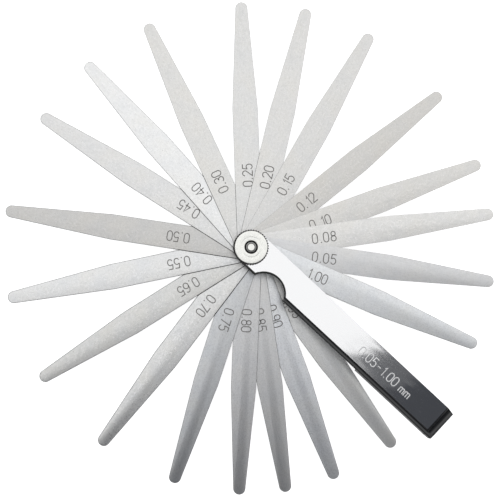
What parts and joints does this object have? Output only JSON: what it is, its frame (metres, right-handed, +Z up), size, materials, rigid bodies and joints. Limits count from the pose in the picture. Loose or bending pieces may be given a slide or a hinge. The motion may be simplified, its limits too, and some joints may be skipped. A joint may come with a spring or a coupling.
{
  "type": "feeler gauge",
  "caption": "Fan of tapered steel thickness leaves on one screw, in a folded sheet-steel case with a thumb notch and a knurled clamping nut.",
  "frame": {"origin": "on the pivot axis, at the underside of the screw head, which is the face the tool lies on", "axes": "+Z up the pivot towards the knurled nut, +X along the case to its far end, +Y towards the case's open side"},
  "size_m": [0.1956, 0.1886, 0.0177],
  "materials": {
    "polished_case": "bright nickel plate",
    "leaf_steel": "fine-ground satin spring steel",
    "nut_steel": "bright plated, turned face",
    "screw_steel": "bright plated",
    "etch": "dark etched marking"
  },
  "bodies": {
    "case_body": {"case": "polished_case", "pivot_screw": "screw_steel"},
    "washer": {"washer": "screw_steel"},
    "nut": {"knurled_nut": "nut_steel"},
    "leaf_1_00": {"leaf_1_00": "leaf_steel"},
    "leaf_0_05": {"leaf_0_05": "leaf_steel"},
    "leaf_0_08": {"leaf_0_08": "leaf_steel"},
    "leaf_0_10": {"leaf_0_10": "leaf_steel"},
    "leaf_0_12": {"leaf_0_12": "leaf_steel"},
    "leaf_0_15": {"leaf_0_15": "leaf_steel"},
    "leaf_0_20": {"leaf_0_20": "leaf_steel"},
    "leaf_0_25": {"leaf_0_25": "leaf_steel"},
    "leaf_0_30": {"leaf_0_30": "leaf_steel"},
    "leaf_0_40": {"leaf_0_40": "leaf_steel"},
    "leaf_0_45": {"leaf_0_45": "leaf_steel"},
    "leaf_0_50": {"leaf_0_50": "leaf_steel"},
    "leaf_0_55": {"leaf_0_55": "leaf_steel"},
    "leaf_0_65": {"leaf_0_65": "leaf_steel"},
    "leaf_0_70": {"leaf_0_70": "leaf_steel"},
    "leaf_0_75": {"leaf_0_75": "leaf_steel"},
    "leaf_0_80": {"leaf_0_80": "leaf_steel"},
    "leaf_0_85": {"leaf_0_85": "leaf_steel"},
    "leaf_0_90": {"leaf_0_90": "leaf_steel"},
    "leaf_0_95": {"leaf_0_95": "leaf_steel"}
  },
  "joints": [
    {"name": "leaf_1_00_swing", "type": "hinge", "parent": "case_body", "child": "leaf_1_00", "pos_m": [0, 0, 0], "axis": [0, 0, 1], "range_deg": [-19.71, 311.79]},
    {"name": "leaf_0_05_swing", "type": "hinge", "parent": "case_body", "child": "leaf_0_05", "pos_m": [0, 0, 0], "axis": [0, 0, 1], "range_deg": [-35.01, 296.49]},
    {"name": "leaf_0_08_swing", "type": "hinge", "parent": "case_body", "child": "leaf_0_08", "pos_m": [0, 0, 0], "axis": [0, 0, 1], "range_deg": [-51.01, 297.99]},
    {"name": "leaf_0_10_swing", "type": "hinge", "parent": "case_body", "child": "leaf_0_10", "pos_m": [0, 0, 0], "axis": [0, 0, 1], "range_deg": [-63.1, 286.4]},
    {"name": "leaf_0_12_swing", "type": "hinge", "parent": "case_body", "child": "leaf_0_12", "pos_m": [0, 0, 0], "axis": [0, 0, 1], "range_deg": [-81.9, 267.6]},
    {"name": "leaf_0_15_swing", "type": "hinge", "parent": "case_body", "child": "leaf_0_15", "pos_m": [0, 0, 0], "axis": [0, 0, 1], "range_deg": [-103.5, 246]},
    {"name": "leaf_0_20_swing", "type": "hinge", "parent": "case_body", "child": "leaf_0_20", "pos_m": [0, 0, 0], "axis": [0, 0, 1], "range_deg": [-119.61, 229.89]},
    {"name": "leaf_0_25_swing", "type": "hinge", "parent": "case_body", "child": "leaf_0_25", "pos_m": [0, 0, 0], "axis": [0, 0, 1], "range_deg": [-135.01, 214.49]},
    {"name": "leaf_0_30_swing", "type": "hinge", "parent": "case_body", "child": "leaf_0_30", "pos_m": [0, 0, 0], "axis": [0, 0, 1], "range_deg": [-157.63, 191.87]},
    {"name": "leaf_0_40_swing", "type": "hinge", "parent": "case_body", "child": "leaf_0_40", "pos_m": [0, 0, 0], "axis": [0, 0, 1], "range_deg": [-174.57, 174.93]},
    {"name": "leaf_0_45_swing", "type": "hinge", "parent": "case_body", "child": "leaf_0_45", "pos_m": [0, 0, 0], "axis": [0, 0, 1], "range_deg": [-190.67, 158.83]},
    {"name": "leaf_0_50_swing", "type": "hinge", "parent": "case_body", "child": "leaf_0_50", "pos_m": [0, 0, 0], "axis": [0, 0, 1], "range_deg": [-214.3, 135.2]},
    {"name": "leaf_0_55_swing", "type": "hinge", "parent": "case_body", "child": "leaf_0_55", "pos_m": [0, 0, 0], "axis": [0, 0, 1], "range_deg": [-234.75, 114.75]},
    {"name": "leaf_0_65_swing", "type": "hinge", "parent": "case_body", "child": "leaf_0_65", "pos_m": [0, 0, 0], "axis": [0, 0, 1], "range_deg": [-255, 94.5]},
    {"name": "leaf_0_70_swing", "type": "hinge", "parent": "case_body", "child": "leaf_0_70", "pos_m": [0, 0, 0], "axis": [0, 0, 1], "range_deg": [-275.68, 73.82]},
    {"name": "leaf_0_75_swing", "type": "hinge", "parent": "case_body", "child": "leaf_0_75", "pos_m": [0, 0, 0], "axis": [0, 0, 1], "range_deg": [-294.82, 54.68]},
    {"name": "leaf_0_80_swing", "type": "hinge", "parent": "case_body", "child": "leaf_0_80", "pos_m": [0, 0, 0], "axis": [0, 0, 1], "range_deg": [-310.45, 39.05]},
    {"name": "leaf_0_85_swing", "type": "hinge", "parent": "case_body", "child": "leaf_0_85", "pos_m": [0, 0, 0], "axis": [0, 0, 1], "range_deg": [-321.47, 28.03]},
    {"name": "leaf_0_90_swing", "type": "hinge", "parent": "case_body", "child": "leaf_0_90", "pos_m": [0, 0, 0], "axis": [0, 0, 1], "range_deg": [-333.43, 16.07]},
    {"name": "leaf_0_95_swing", "type": "hinge", "parent": "case_body", "child": "leaf_0_95", "pos_m": [0, 0, 0], "axis": [0, 0, 1], "range_deg": [-349.1, 0.4]},
    {"name": "nut_turn", "type": "hinge", "parent": "washer", "child": "nut", "pos_m": [0, 0, 0], "axis": [0, 0, 1], "range_deg": [0, 360]},
    {"name": "washer_lift", "type": "slide", "parent": "case_body", "child": "washer", "axis": [0, 0, 1], "range_m": [0, 0.0007]}
  ],
  "couplings": [
    {"joint": "nut_turn", "follows": "washer_lift", "rad_per_m": 8975.9}
  ]
}
